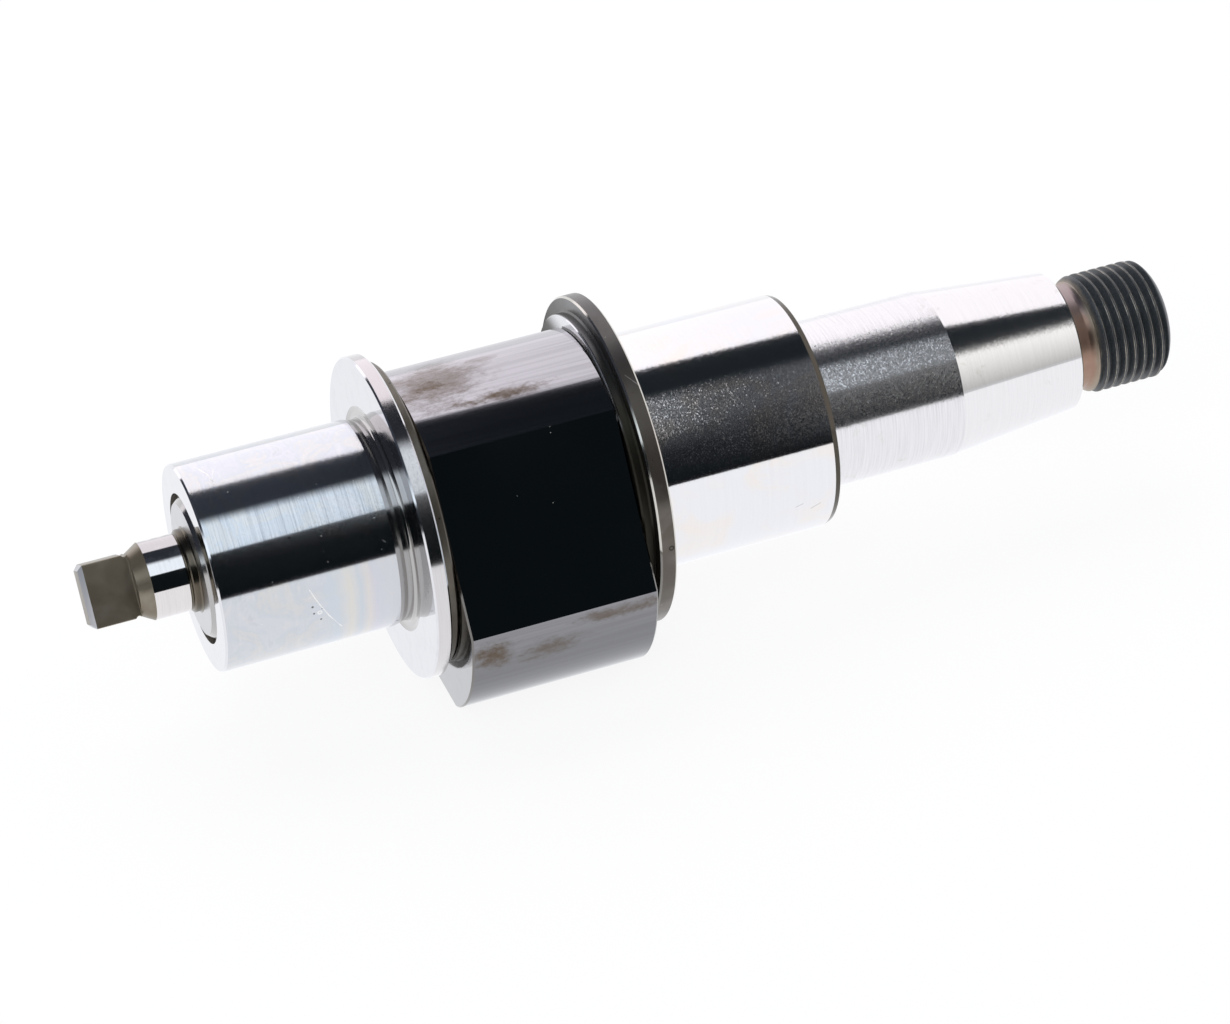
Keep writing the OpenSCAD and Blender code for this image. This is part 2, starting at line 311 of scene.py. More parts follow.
SLEEVE_PITS = (          # place, radius
    ((-65.55, -15.17, -0.53), 0.17), ((-65.42, -15.08, -1.77), 0.15),
    ((-64.46, -14.85, -3.17), 0.15), ((-64.2, -15.1, -1.2), 0.10),
    ((-66.86, -11.78, 9.57), 0.20), ((-52.9, -12.2, -8.9), 0.2))
SLEEVE_RING_PIT = (-64.58, -15.07, -1.82)
SLEEVE_SCRATCHES = (     # from, to, width
    ((-75.32, 1.83, 15.07), (-74.66, 0.2, 15.18), 0.12),
    ((-74.66, 0.2, 15.18), (-74.33, -1.96, 15.05), 0.14),
    ((-73.45, 0.86, 15.16), (-74.2, -1.2, 15.10), 0.10),
    ((-65.65, -15.0, 2.35), (-65.14, -15.14, 1.08), 0.12),
    ((-65.14, -15.14, 1.08), (-64.47, -15.17, -0.42), 0.13),
    ((-64.47, -15.17, -0.42), (-63.14, -14.87, -3.08), 0.13),
    ((-63.14, -14.87, -3.08), (-61.38, -13.93, -6.04), 0.11),
    ((-54.63, -11.93, 9.30), (-54.3, -11.99, 9.44), 0.12),
    ((-54.1, -13.70, 6.53), (-53.8, -13.86, 6.20), 0.12))


def sleeve_journal():
    """The sleeve's journal: polished by its bearing, with fine lines round it, a rainbow film
    towards the disc, pits and a few bright scratches."""
    m, g = material("sleeve_journal")
    p = g.point()
    x, _, z = g.split(p)
    line = g.rings(p, 4.0, 0.06)
    cloud = g.noise(p, scale=0.12, detail=5.0, rough=0.62, distort=1.2)
    smear = g.noise(g.scaled(p, 0.45, 0.28, 0.28), detail=5.0, rough=0.7, distort=0.8)
    swirl = g.noise(p, scale=0.09, detail=4.0, rough=0.6)
    base = g.ramp(cloud, (0.34, (0.60, 0.625, 0.655)), (0.45, (0.635, 0.63, 0.62)),
                  (0.52, (0.585, 0.61, 0.645)), (0.62, (0.63, 0.635, 0.665)),
                  (0.74, (0.55, 0.565, 0.59)))
    base = g.mix(g.mul(g.step(smear, 0.52, 0.66), 0.35), base, (0.70, 0.69, 0.69))
    # the film's colours follow each other along the shaft, on the lower half
    place = g.add(g.mul(g.add(x, 65.5), 0.085), g.mul(g.sub(swirl, 0.5), 0.30))
    film = g.ramp(place, (0.0, (0.60, 0.62, 0.66)), (0.30, (0.57, 0.62, 0.68)),
                  (0.48, (0.69, 0.66, 0.61)), (0.60, (0.57, 0.61, 0.66)), (0.70, (0.68, 0.64, 0.61)),
                  (0.80, (0.60, 0.60, 0.66)), (1.0, (0.60, 0.61, 0.64)))
    lower = g.sub(1.0, g.step(z, 1.0, 8.0))
    base = g.mix(g.mul(g.mul(lower, g.step(x, -68.0, -60.0)), 0.85), base, film)
    lined = g.add(0.07, g.mul(g.band(z, 3.0, 9.0, 13.0, 13.8), 0.42))
    base = g.mix(g.mul(g.step(line, 0.40, 0.75), lined), base, (0.34, 0.36, 0.40))
    pits = g.most(*(g.near(p, centre, radius, 0.08) for centre, radius in SLEEVE_PITS))
    ring_pit = g.sub(g.near(p, SLEEVE_RING_PIT, 0.36, 0.1), g.near(p, SLEEVE_RING_PIT, 0.16, 0.06))
    bright = g.most(*(g.scratch(p, a, b, width) for a, b, width in SLEEVE_SCRATCHES),
                    g.spots(p, 0.75, 0.055, 0.35), ring_pit)
    base = g.mix(g.mul(pits, 0.85), base, (0.05, 0.05, 0.05))
    base = g.mix(bright, base, (0.88, 0.87, 0.85))
    rough = g.blend(bright, g.add(0.115, g.mul(g.sub(line, 0.5), 0.09)), 0.40)
    metal(g, base, rough, g.bump(line, 1.8, g.glints(p, 0.02)), aniso=0.7)
    return m


def polished(name, colour, rough, mottled=0.03):
    """A lapped, mirror-like face with a little haze."""
    m, g = material(name)
    p = g.point()
    haze = g.noise(p, scale=0.35, detail=4.0, rough=0.6)
    fine = g.noise(p, scale=2.2, detail=3.0)
    base = g.mix(g.mul(g.step(haze, 0.45, 0.75), 0.4), colour, darker(colour, 0.86))
    speck = g.spots(p, 0.9, 0.05, 0.25)
    base = g.mix(g.mul(speck, 0.6), base, darker(colour, 0.4))
    metal(g, base, g.add(rough, g.mul(g.add(g.sub(haze, 0.5), g.sub(fine, 0.5)), mottled)))
    return m


def olive_skin(name, colour, light):
    """The olive-brown skin that hardening leaves on faces that weren't ground afterwards."""
    m, g = material(name)
    p = g.point()
    cloud = g.noise(p, scale=0.16, detail=3.0, rough=0.5, distort=0.6)
    grain = g.noise(p, scale=3.0, detail=3.0, rough=0.7)
    turn = g.noise(g.scaled(p, 4.0, 0.06, 0.06), detail=3.0)
    base = g.mix(g.step(cloud, 0.35, 0.75), colour, light)
    base = g.mix(g.mul(g.step(grain, 0.62, 0.82), 0.25), base, (0.26, 0.24, 0.21))
    base = g.mix(g.mul(g.spots(p, 0.7, 0.10, 0.18), 0.8), base, (0.02, 0.02, 0.018))
    rough = g.add(0.34, g.mul(g.sub(grain, 0.5), 0.18))
    metal(g, base, rough, g.bump(grain, 4.0, g.bump(turn, 2.0)), metallic=0.7)
    return m


def disc_rim():
    """The larger disc's olive rim, with the small ring-shaped dent that a hardness test left;
    painted shade darkens its upper side.
    """
    m, g = material("main_disc_rim")
    p = g.point()
    cloud = g.noise(p, scale=0.13, detail=3.0, rough=0.5, distort=0.5)
    grain = g.noise(p, scale=3.0, detail=3.0, rough=0.7)
    base = g.mix(g.step(cloud, 0.38, 0.70), (0.115, 0.100, 0.084), (0.19, 0.17, 0.15))
    # painted shade: the rim's upper side, above z 19, is darkened
    base = g.mix(g.mul(g.step(g.split(p)[2], 19.0, 24.0), 0.6), base, (0.07, 0.07, 0.075))
    dent = (-15.46, -24.55, 0.22)
    base = g.mix(g.mul(g.sub(g.near(p, dent, 0.42, 0.08), g.near(p, dent, 0.20, 0.08)), 0.85), base,
                 (0.02, 0.018, 0.016))
    scuff = g.most(*(g.scratch(p, (-16.2 + k, -11.4 - 1.3 * k, 21.7 - 0.7 * k),
                               (-15.9 + k, -11.8 - 1.3 * k, 21.5 - 0.7 * k), 0.09)
                     for k in (0.0, 0.3, 0.7, 1.0)), g.spots(p, 0.6, 0.05, 0.3))
    base = g.mix(g.mul(scuff, 0.6), base, (0.50, 0.48, 0.45))
    metal(g, base, g.add(0.30, g.mul(g.sub(grain, 0.5), 0.14)), g.bump(grain, 3.0), metallic=0.8)
    return m


def disc_face():
    """The larger disc's face towards the ring: satin, with painted light and shade, lighter above
    and olive and dark below; the boss's face is a painted highlight, a bright mirror on its upper
    side.
    """
    m, g = material("main_disc_face")
    p = g.point()
    x, _, z = g.split(p)
    turn = g.noise(p, scale=0.3, detail=3.0)
    # painted light and shade: lighter above z 17, dark olive below
    base = g.mix(g.step(z, 17.0, 25.0), (0.042, 0.038, 0.029), (0.17, 0.17, 0.175))
    base = g.mix(g.mul(turn, 0.3), base, (0.04, 0.036, 0.029))
    # painted highlight: the boss's face is a bright, smooth mirror only above z 15
    boss_face = g.sub(1.0, g.step(x, SHIFT + X_BOSS + 0.1, SHIFT + X_BOSS + 0.2))
    boss = g.mul(boss_face, g.step(z, 15.0, 20.0))
    base = g.mix(boss, base, (0.72, 0.72, 0.74))
    satin = g.add(g.blend(g.step(z, 10.0, 20.0), 0.42, 0.24), g.mul(turn, 0.08))
    rough = g.blend(boss, satin, 0.07)
    metal(g, base, rough, g.bump(turn, 1.0), metallic=0.9)
    return m


def temper(g, p):
    """The neck's copper-brown temper colours, which turn grey-blue up the slope to the thread; a
    painted reflection tints the upper side grey-purple, and a painted highlight lightens a beige
    band at the foot of the slope.
    """
    x, _, z = g.split(p)
    cloud = g.noise(p, scale=0.5, detail=3.0)
    along = g.add(x, g.mul(g.sub(cloud, 0.5), 0.5))
    start = SHIFT + X_NECK
    copper = g.mix(cloud, (0.27, 0.17, 0.125), (0.40, 0.27, 0.21))
    # painted reflection: the upper side, above z 6, is tinted grey-purple
    copper = g.mix(g.mul(g.step(z, 6.0, 8.0), 0.7), copper, (0.36, 0.31, 0.33))
    # painted highlight: a lighter beige band at the foot of the slope
    copper = g.mix(g.mul(g.step(along, start + 2.7, start + 3.4), 0.7), copper, (0.38, 0.34, 0.27))
    return g.step(along, start + 3.35, start + 4.1), copper


def neck():
    m, g = material("neck_temper")
    p = g.point()
    _, copper = temper(g, p)
    turn = g.noise(g.scaled(p, 4, 0.15, 0.15), detail=3.0)
    metal(g, copper, g.add(0.28, g.mul(turn, 0.10)), g.bump(turn, 3.0))
    return m


def thread_oxide():
    """Blue-grey black oxide, worn to bare beige metal along the crests' edges."""
    m, g = material("thread_black_oxide")
    p = g.point()
    wear = g.node("Attribute", out=2, props={"attribute_name": "wear"})
    patch = g.noise(p, scale=1.1, detail=3.0)
    grain = g.noise(p, scale=4.0, detail=3.0)
    slope_end, copper = temper(g, p)
    worn = g.step(g.add(wear, g.mul(g.sub(patch, 0.5), 1.1)), 0.60, 0.80)
    base = g.mix(g.step(grain, 0.3, 0.7), (0.028, 0.033, 0.038), (0.060, 0.066, 0.073))
    base = g.mix(worn, base, (0.44, 0.39, 0.32))
    base = g.mix(slope_end, copper, base)
    metallic = g.blend(slope_end, 1.0, g.blend(worn, 0.25, 0.9))
    metal(g, base, g.blend(worn, g.add(0.30, g.mul(grain, 0.14)), 0.24), g.bump(grain, 5.0),
          metallic=metallic)
    return m


RING_STAINS = (          # centre, half lengths, raggedness, strength
    ((-40.0, -0.5, 21.0), (11.0, 8.5, 8.0), 2.4, 0.8),
    ((-41.8, -1.0, 21.0), (3.6, 2.6, 3.0), 2.6, 1.0),
    ((-34.0, -6.8, 20.4), (9.5, 1.6, 2.4), 2.6, 1.0),
    ((-33.6, 3.0, 20.5), (4.5, 1.6, 3.0), 2.4, 0.6),
    ((-43.2, -26.3, -8.6), (4.6, 3.0, 3.6), 2.6, 1.0),
    ((-35.0, -26.2, -9.6), (7.5, 3.0, 2.6), 2.6, 0.8),
    ((-25.0, -26.4, -6.2), (9.0, 2.0, 1.5), 3.0, 0.8))


def ring_round():
    """The ring's round parts: grey steel with brown heat stains and fine streaks along the axis, and
    painted light and shade: lighter on top, darker towards the bottom.
    """
    m, g = material("ring_round")
    p = g.point()
    _, _, z = g.split(p)
    streak = g.noise(g.scaled(p, 0.03, 1.5, 1.5), detail=2.0, rough=0.5)
    cloud = g.noise(g.scaled(p, 0.14, 0.26, 0.26), detail=4.0, rough=0.6, distort=0.5)
    speckle = g.noise(g.scaled(p, 0.9, 1.6, 1.6), detail=5.0, rough=0.75)
    ragged = g.add(g.mul(cloud, 0.65), g.mul(speckle, 0.35))
    grain = g.noise(p, scale=3.0, detail=3.0, rough=0.7)
    heat = g.most(*(g.mul(g.blot(p, centre, size, ragged, sides), strength)
                    for centre, size, sides, strength in RING_STAINS))
    # painted light and shade: the upper side is lighter and the lower side darker
    base = g.mix(g.step(z, -14.0, 14.0), (0.205, 0.205, 0.215), (0.45, 0.44, 0.465))
    # painted shade: darker still along the bottom, below z -8
    base = g.mix(g.sub(1.0, g.step(z, -20.0, -8.0)), base, (0.150, 0.150, 0.158))
    base = g.mix(g.mul(g.step(streak, 0.40, 0.72), 0.22), base, (0.13, 0.125, 0.13))
    base = g.mix(g.mul(heat, g.add(0.38, g.mul(speckle, 0.9))), base, (0.105, 0.075, 0.050))
    rough = g.add(0.085, g.add(g.mul(heat, 0.10), g.mul(g.sub(grain, 0.5), 0.04)))
    normal = g.bump(streak, 5.0)
    metal(g, base, rough, g.bump(grain, 0.6, normal))
    return m


def ring_flat():
    """The lapped flats: a dark, glassy mirror with a few specks of dust."""
    m, g = material("ring_flat")
    p = g.point()
    haze = g.noise(p, scale=0.12, detail=3.0)
    dust = g.spots(p, 0.45, 0.035, 0.28)
    base = g.mix(haze, (0.42, 0.46, 0.50), (0.52, 0.55, 0.58))
    base = g.mix(dust, base, (0.55, 0.55, 0.52))
    metal(g, base, g.blend(dust, g.add(0.03, g.mul(haze, 0.02)), 0.8))
    return m


def bronze():
    m, g = material("bush_bronze")
    p = g.point()
    line = g.noise(g.scaled(p, 6.0, 0.2, 0.2), detail=3.0)
    base = g.mix(line, (0.46, 0.33, 0.17), (0.56, 0.42, 0.24))
    metal(g, base, g.add(0.22, g.mul(line, 0.15)), g.bump(line, 3.0))
    return m


def build_materials():
    return {
        "main": ground_steel(
            "main_journal", (0.80, 0.80, 0.82), rough=0.075, aniso=0.7, lines_um=0.8, tilt=0.025,
            lean=0.53, streak=0.05, stain=(0.86, 0.78, 0.71),
            marks=(((9.0, -16.6, -5.6), (10.4, -16.75, -4.9), 0.12),
                   ((6.5, -16.9, -4.4), (7.6, -17.0, -4.1), 0.10))),
        "straight": ground_steel(
            "straight_ground", (0.80, 0.79, 0.80), rough=0.17, aniso=0.7, lines_um=2.2, tilt=0.085,
            lean=0.60, streak=0.26, blotches=(0.57, 0.53, 0.47)),
        "taper": ground_steel(
            "taper_ground", (0.81, 0.80, 0.805), rough=0.085, aniso=0.5, lines_um=0.6, tilt=0.016,
            blotches=(0.63, 0.595, 0.545)),
        # painted shade: the stub's topmost strip, above z 4.9, is darker and mottled
        "stub": ground_steel(
            "stub_ground", (0.73, 0.70, 0.69), rough=0.07, aniso=0.4, lines_um=0.6, streak=0.15,
            top=(4.9, 5.4, (0.49, 0.475, 0.475))),
        "lead": ground_steel(
            "lead_in", (0.080, 0.072, 0.058), rough=0.16, aniso=0.4, lines_um=1.0, tilt=0.02),
        "relief": ground_steel(
            "relief_turned", (0.46, 0.45, 0.44), rough=0.14, aniso=0.4, lines_um=1.0, streak=0.2,
            along=0.02),
        # painted shade: the rim's upper side, above z 19, is darker and mottled
        "rim": ground_steel(
            "sleeve_disc_rim", (0.66, 0.64, 0.64), rough=0.13, aniso=0.6, lines_um=2.5, tilt=0.02,
            streak=0.15, top=(19.0, 22.0, (0.57, 0.54, 0.54))),
        "root": ground_steel(
            "stub_root", (0.15, 0.13, 0.10), rough=0.24, aniso=0.3, lines_um=0.2, streak=0.25,
            along=0.02),
        "sleeve": sleeve_journal(),
        "olive": olive_skin("olive_skin", (0.115, 0.101, 0.080), (0.170, 0.153, 0.128)),
        "tang": olive_skin("tang_skin", (0.205, 0.172, 0.125), (0.30, 0.27, 0.215)),
        "disc_rim": disc_rim(),
        "disc_face": disc_face(),
        "mirror": polished("lapped_face", (0.68, 0.68, 0.70), 0.05),
        "centre": polished("centre_hole", (0.24, 0.235, 0.225), 0.36),
        "tang_edge": polished("tang_edge", (0.50, 0.50, 0.52), 0.30),
        "core_face": polished("core_face", (0.60, 0.60, 0.61), 0.30, 0.0),
        "edge": polished("bright_edge", (0.60, 0.58, 0.53), 0.12),
        "pale_edge": polished("pale_edge", (0.74, 0.74, 0.76), 0.10),
        "ring_edge": polished("ring_edge", (0.20, 0.19, 0.18), 0.16),
        "ring_face": polished("ring_face", (0.36, 0.36, 0.365), 0.09, 0.06),
        "ring_round": ring_round(),
        "ring_flat": ring_flat(),
        "neck": neck(),
        "thread": thread_oxide(),
        "bronze": bronze(),
    }


# ------------------------------------------------------------------ meshes
def around(x, r, centre=(0.0, 0.0)):
    """The points of a circle about the shaft's axis, or about another line along it."""
    turn = [2 * math.pi * i / AROUND for i in range(AROUND)]
    return [Vector((x + SHIFT, centre[0] + r * math.cos(a), centre[1] + r * math.sin(a))) * MM
            for a in turn]


def finish_mesh(name, bm, mats, body, node):
    """Makes a smooth-shaded piece of the mesh, which rides on a body in place of its CAD node."""
    bmesh.ops.remove_doubles(bm, verts=bm.verts, dist=1e-7)
    bmesh.ops.recalc_face_normals(bm, faces=bm.faces)
    mesh = bpy.data.meshes.new(name)
    for f in bm.faces:
        f.smooth = True
    bm.to_mesh(mesh)
    bm.free()
    obj = bpy.data.objects.new(name, mesh)
    bpy.context.scene.collection.objects.link(obj)
    for m in mats:
        mesh.materials.append(MATS[m])
    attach(obj, body)
    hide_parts(node)
    return obj


def arc(r, x, radius, start, end):
    """Points of an arc about (x, r), tagged smooth inside."""
    out = []
    for i in range(ARC_STEPS + 1):
        a = math.radians(start + (end - start) * i / ARC_STEPS)
        out.append((x + radius * math.sin(a), r + radius * math.cos(a), i not in (0, ARC_STEPS)))
    return out


def turned(name, rows, node, closed=False, centre=(0.0, 0.0)):
    """Revolves rows of (x, r, smooth, material) about the axis; the material is that of the face
    from this row to the next."""
    bm = bmesh.new()
    used = []
    rings = []
    for x, r, _, _ in rows:
        circle = around(x, r, centre) if r else around(x, 0, centre)[:1]
        rings.append([bm.verts.new(co) for co in circle])
    n = len(rows)
    for k in range(n if closed else n - 1):
        a, b = rings[k], rings[(k + 1) % n]
        mat = rows[k][3]
        if mat not in used:
            used.append(mat)
        for i in range(AROUND):
            j = (i + 1) % AROUND
            corners = [a[i % len(a)], a[j % len(a)], b[j % len(b)], b[i % len(b)]]
            face = bm.faces.new(list(dict.fromkeys(corners)))
            face.material_index = used.index(mat)
    for row, ring in zip(rows, rings):
        if len(ring) > 1 and not row[2]:
            for i in range(AROUND):
                edge = bm.edges.get((ring[i], ring[(i + 1) % AROUND]))
                if edge:
                    edge.smooth = False
    finish_mesh(name, bm, used, "shaft", node)


def rows_of(*parts):
    """Joins (material, points) groups into rows; a point is (x, r) or (x, r, smooth)."""
    rows = []
    for mat, points in parts:
        for p in points:
            rows.append((p[0], p[1], len(p) > 2 and p[2], mat))
    return rows


# the S-shaped slope from one radius to the next, as shares of its length and of its rise
SLOPE = ((0, 0), (0.125, 0.045), (0.25, 0.12), (0.375, 0.29),
         (0.5, 0.52), (0.65, 0.70), (0.8, 0.81), (1, 1))


def slope(r0, r1, x, length):
    return [(x + length * a, r0 + (r1 - r0) * b, 0 < a < 1) for a, b in SLOPE]


def relief(r, x, side, length):
    """The grinding relief between a journal and a disc's face, from journal to face."""
    r2 = r - RELIEF_DEPTH
    cr, cx = r2 + RELIEF_FILLET, x + side * (RELIEF_FACE - RELIEF_FILLET)
    return [(x - side * length, r), (x - side * length / 2, r2)] + \
        arc(cr, cx, RELIEF_FILLET, 180, 90 if side > 0 else 270) + \
        [(x + side * RELIEF_FACE, r + RELIEF_UP / 2), (x + side * 0.06, r + RELIEF_UP * 0.93),
         (x, r + RELIEF_UP)]


def build_sleeve():
    turned("sleeve_turned", rows_of(
        ("mirror", [(X_SLEEVE, CORE_R), (X_SLEEVE, SLEEVE_R - 0.25)]),
        ("pale_edge", [(X_SLEEVE + 0.02, SLEEVE_R - 0.2)]),
        ("sleeve", [(X_SLEEVE + SLEEVE_EDGE, SLEEVE_R)]),
        ("relief", relief(SLEEVE_R, X_SDISC, 1, SLEEVE_RELIEF)[:-1]),
        ("mirror", [(X_SDISC, SLEEVE_R + RELIEF_UP)]),
        ("pale_edge", [(X_SDISC, SDISC_R - EDGE)]),
        ("rim", [(X_SDISC + EDGE, SDISC_R)]),
        ("pale_edge", [(X_SBOSS - EDGE, SDISC_R)]),
        ("olive", [(X_SBOSS, SDISC_R - EDGE), (X_SBOSS, BOSS_R + EDGE), (X_SBOSS + EDGE, BOSS_R),
                   (X_ECC - EDGE, BOSS_R), (X_ECC, BOSS_R - EDGE)]),
        ("olive", [(X_ECC, CORE_R)])), "journal_sleeve", closed=True)


def build_shaft():
    root = STUB_R + ROOT_RISE
    groove = X_CORE - STUB_ROOT
    turned("stub_and_core", rows_of(
        ("tang", [(X_ROOT - OVERLAP, 0), (X_ROOT - OVERLAP, TANG_PIN_R), (X_ROOT, TANG_PIN_R),
                  (X_ROOT, CONE_R)]),
        ("stub", [(X_CONE, STUB_R)]),
        ("root", [(groove, STUB_R), (groove + STUB_GROOVE, STUB_R - STUB_GROOVE)]
         + slope(STUB_R - STUB_GROOVE, root, groove + 2 * STUB_GROOVE, ROOT_RISE)
         + arc(root + STUB_FILLET, X_CORE - STUB_FILLET, STUB_FILLET, 180, 90)[:-1]),
        ("core_face", [(X_CORE, root + STUB_FILLET)]),
        ("relief", [(X_CORE, CORE_R - CORE_CH), (X_CORE + CORE_CH, CORE_R),
                    (X_ECC + OVERLAP, CORE_R), (X_ECC + OVERLAP, 0)])), "shaft")
    turned("eccentric", rows_of(
        ("relief", [(X_ECC, 0), (X_ECC, ECC_R), (X_BOSS, ECC_R), (X_BOSS, 0)])),
        "shaft", centre=(ECC_Y, ECC_Z))
    taper_r = STRAIGHT_R - TAPER_LEN / 10
    turned("shaft_drive_end", rows_of(
        ("disc_face", [(X_BOSS, 0), (X_BOSS, BOSS_R - EDGE), (X_BOSS + EDGE, BOSS_R),
                       (X_DISC - EDGE, BOSS_R), (X_DISC, BOSS_R + EDGE)]),
        ("edge", [(X_DISC, DISC_R - EDGE)]),
        ("disc_rim", [(X_DISC + EDGE, DISC_R)]),
        ("edge", [(-EDGE, DISC_R)]),
        ("mirror", [(0, DISC_R - EDGE)]),
        ("relief", relief(MAIN_R, 0, -1, MAIN_RELIEF)[::-1][:-1]),
        ("main", [(MAIN_RELIEF, MAIN_R)]),
        ("lead", [(MAIN_LEN - MAIN_LEAD, MAIN_R)]),
        ("mirror", [(MAIN_LEN, MAIN_R - MAIN_DROP)]),
        ("relief", [(MAIN_LEN, STRAIGHT_R + 3 * STR_RELIEF),
                    (MAIN_LEN - STR_RELIEF, STRAIGHT_R + STR_RELIEF),
                    (MAIN_LEN - STR_RELIEF, STRAIGHT_R), (MAIN_LEN, STRAIGHT_R - STR_RELIEF),
                    (MAIN_LEN + STR_RELIEF_LEN / 2, STRAIGHT_R - STR_RELIEF)]),
        ("straight", [(MAIN_LEN + STR_RELIEF_LEN, STRAIGHT_R)]),
        ("taper", [(X_TAPER, STRAIGHT_R)]),
        ("edge", [(X_NECK - TAPER_EDGE, taper_r + TAPER_EDGE / 10)]),
        ("relief", [(X_NECK, taper_r - TAPER_EDGE)]),
        ("neck", arc(NECK_R + NECK_FILLET, X_NECK + NECK_FILLET, NECK_FILLET, 270, 180)
         + [(X_THREAD - NECK_SLOPE, NECK_R), (X_THREAD - NECK_SLOPE, 0)])), "shaft")


def thread_profile(u):
    """Radius of the endless thread at u pitches from a crest's middle."""
    d = abs((u + 0.5) % 1.0 - 0.5) * PITCH
    crest = CREST_FLAT / 2
    if d <= crest:
        return THREAD_R
    r = THREAD_R - (d - crest) / FLANK
    if r > ROOT_R + ROOT_ROUND:
        return r
    t = min(1.0, (ROOT_R + ROOT_ROUND - r) / (2 * ROOT_ROUND))
    return ROOT_R + ROOT_ROUND * (1 - math.sin(t * math.pi / 2))


def thread_envelope(x):
    """Radius that the thread's crests may not pass, along the slope and the rounded end."""
    if x <= X_THREAD - NECK_SLOPE:
        return NECK_R
    if x < X_THREAD:
        t = (x - X_THREAD + NECK_SLOPE) / NECK_SLOPE
        for (a0, b0), (a1, b1) in zip(SLOPE, SLOPE[1:]):
            if a0 <= t <= a1:
                return NECK_R + (THREAD_R - NECK_R) * (b0 + (b1 - b0) * (t - a0) / (a1 - a0))
    if x <= X_END - THREAD_END:
        return THREAD_R
    t = min(1.0, (x - X_END + THREAD_END) / THREAD_END)
    return THREAD_R - THREAD_END * t + THREAD_BULGE * (1 - (2 * t - 1) ** 2)


def centre_hole(bm):
    """Closes the thread's end: its face, material 1, and its chamfered centre hole, material 2."""
    drill = CENTRE_R / 2
    mouth = (CENTRE_R - drill) / FLANK
    outline = ((X_END, THREAD_R - THREAD_END), (X_END, CENTRE_R), (X_END - mouth, drill),
               (X_END - CENTRE_DEPTH, drill))
    rings = [[bm.verts.new(co) for co in around(x, r)] for x, r in outline]
    tip = around(X_END - CENTRE_DEPTH - drill / 2, 0)[0]
    rings.append([bm.verts.new(tip)] * AROUND)
    for k, (p, q) in enumerate(zip(rings, rings[1:])):
        for i in range(AROUND):
            j = (i + 1) % AROUND
            face = bm.faces.new(list(dict.fromkeys([p[i], p[j], q[j], q[i]])))
            face.material_index = 1 if k == 0 else 2
            bm.edges.get((p[i], p[j])).smooth = False


# stations down one flank, through the root and up the other, as shares of the pitch
FLANK_MARKS = (0.17, 0.24, 0.30, 0.345, 0.385, 0.42, 0.46, 0.5,
               0.54, 0.58, 0.615, 0.655, 0.70, 0.76, 0.83)
CREST_STEP = 0.03        # from a crest's edge to the stations beside it, as a share of the pitch
WORN_EDGE = 0.045        # how far the bare edge of a crest reaches, as a share of the pitch
CUT_CREST_WEAR = 0.35    # how much of it is left where the crest is cut back


def build_thread():
    """A right-hand thread, meshed along its own helix so that the crests' edges are clean."""
    crest = CREST_FLAT / 2 / PITCH
    marks = (-crest, -crest + CREST_STEP, 0.0, crest - CREST_STEP, crest, crest + CREST_STEP,
             *FLANK_MARKS, 1 - crest - CREST_STEP)
    x_a, x_b = X_THREAD - NECK_SLOPE, X_END
    turns = int(math.ceil((x_b - x_a) / PITCH)) + 2
    stations = [(k + u) * PITCH for k in range(-1, turns) for u in marks]
    bm = bmesh.new()
    wear = bm.verts.layers.float.new("wear")
    grid = []
    for i in range(AROUND + 1):
        a = 2 * math.pi * i / AROUND
        column = []
        for s in stations:
            x = x_a + s + PITCH * i / AROUND - PITCH
            inside = x_a < x < x_b
            x = min(max(x, x_a), x_b)
            full, limit = thread_profile(s / PITCH), thread_envelope(x)
            r = min(full, limit)
            v = bm.verts.new(((x + SHIFT) * MM, r * math.cos(a) * MM, r * math.sin(a) * MM))
            from_edge = abs(abs((s / PITCH + 0.5) % 1.0 - 0.5) - crest)
            worn = max(0.0, 1.0 - from_edge / WORN_EDGE) if inside else 0.0
            v[wear] = worn * (CUT_CREST_WEAR if limit < full else 1.0)
            column.append(v)
        grid.append(column)
    for i in range(AROUND):
        for k in range(len(stations) - 1):
            quad = [grid[i][k], grid[i + 1][k], grid[i + 1][k + 1], grid[i][k + 1]]
            xs = [v.co.x for v in quad]
            if max(xs) - min(xs) > 1e-9:
                bm.faces.new(quad)
    centre_hole(bm)
    bmesh.ops.remove_doubles(bm, verts=bm.verts, dist=1e-7)
    bmesh.ops.dissolve_degenerate(bm, edges=bm.edges, dist=1e-8)
    # closed towards the neck by a flat face
    rim = [e for e in bm.edges if e.is_boundary]
    bmesh.ops.contextual_create(bm, geom=rim)
    for e in rim:
        e.smooth = False
    finish_mesh("shaft_thread", bm, ("thread", "relief", "centre"), "shaft", "shaft")


def rounded_rectangle(half_w, half_t, radius=0.16, steps=4):
    points = []
    for cx, cy, start in ((1, 1, 0), (-1, 1, 90), (-1, -1, 180), (1, -1, 270)):
        for i in range(steps + 1):
            a = math.radians(start + 90 * i / steps)
            points.append((cx * (half_w - radius) + radius * math.cos(a),
                           cy * (half_t - radius) + radius * math.sin(a)))
    return points


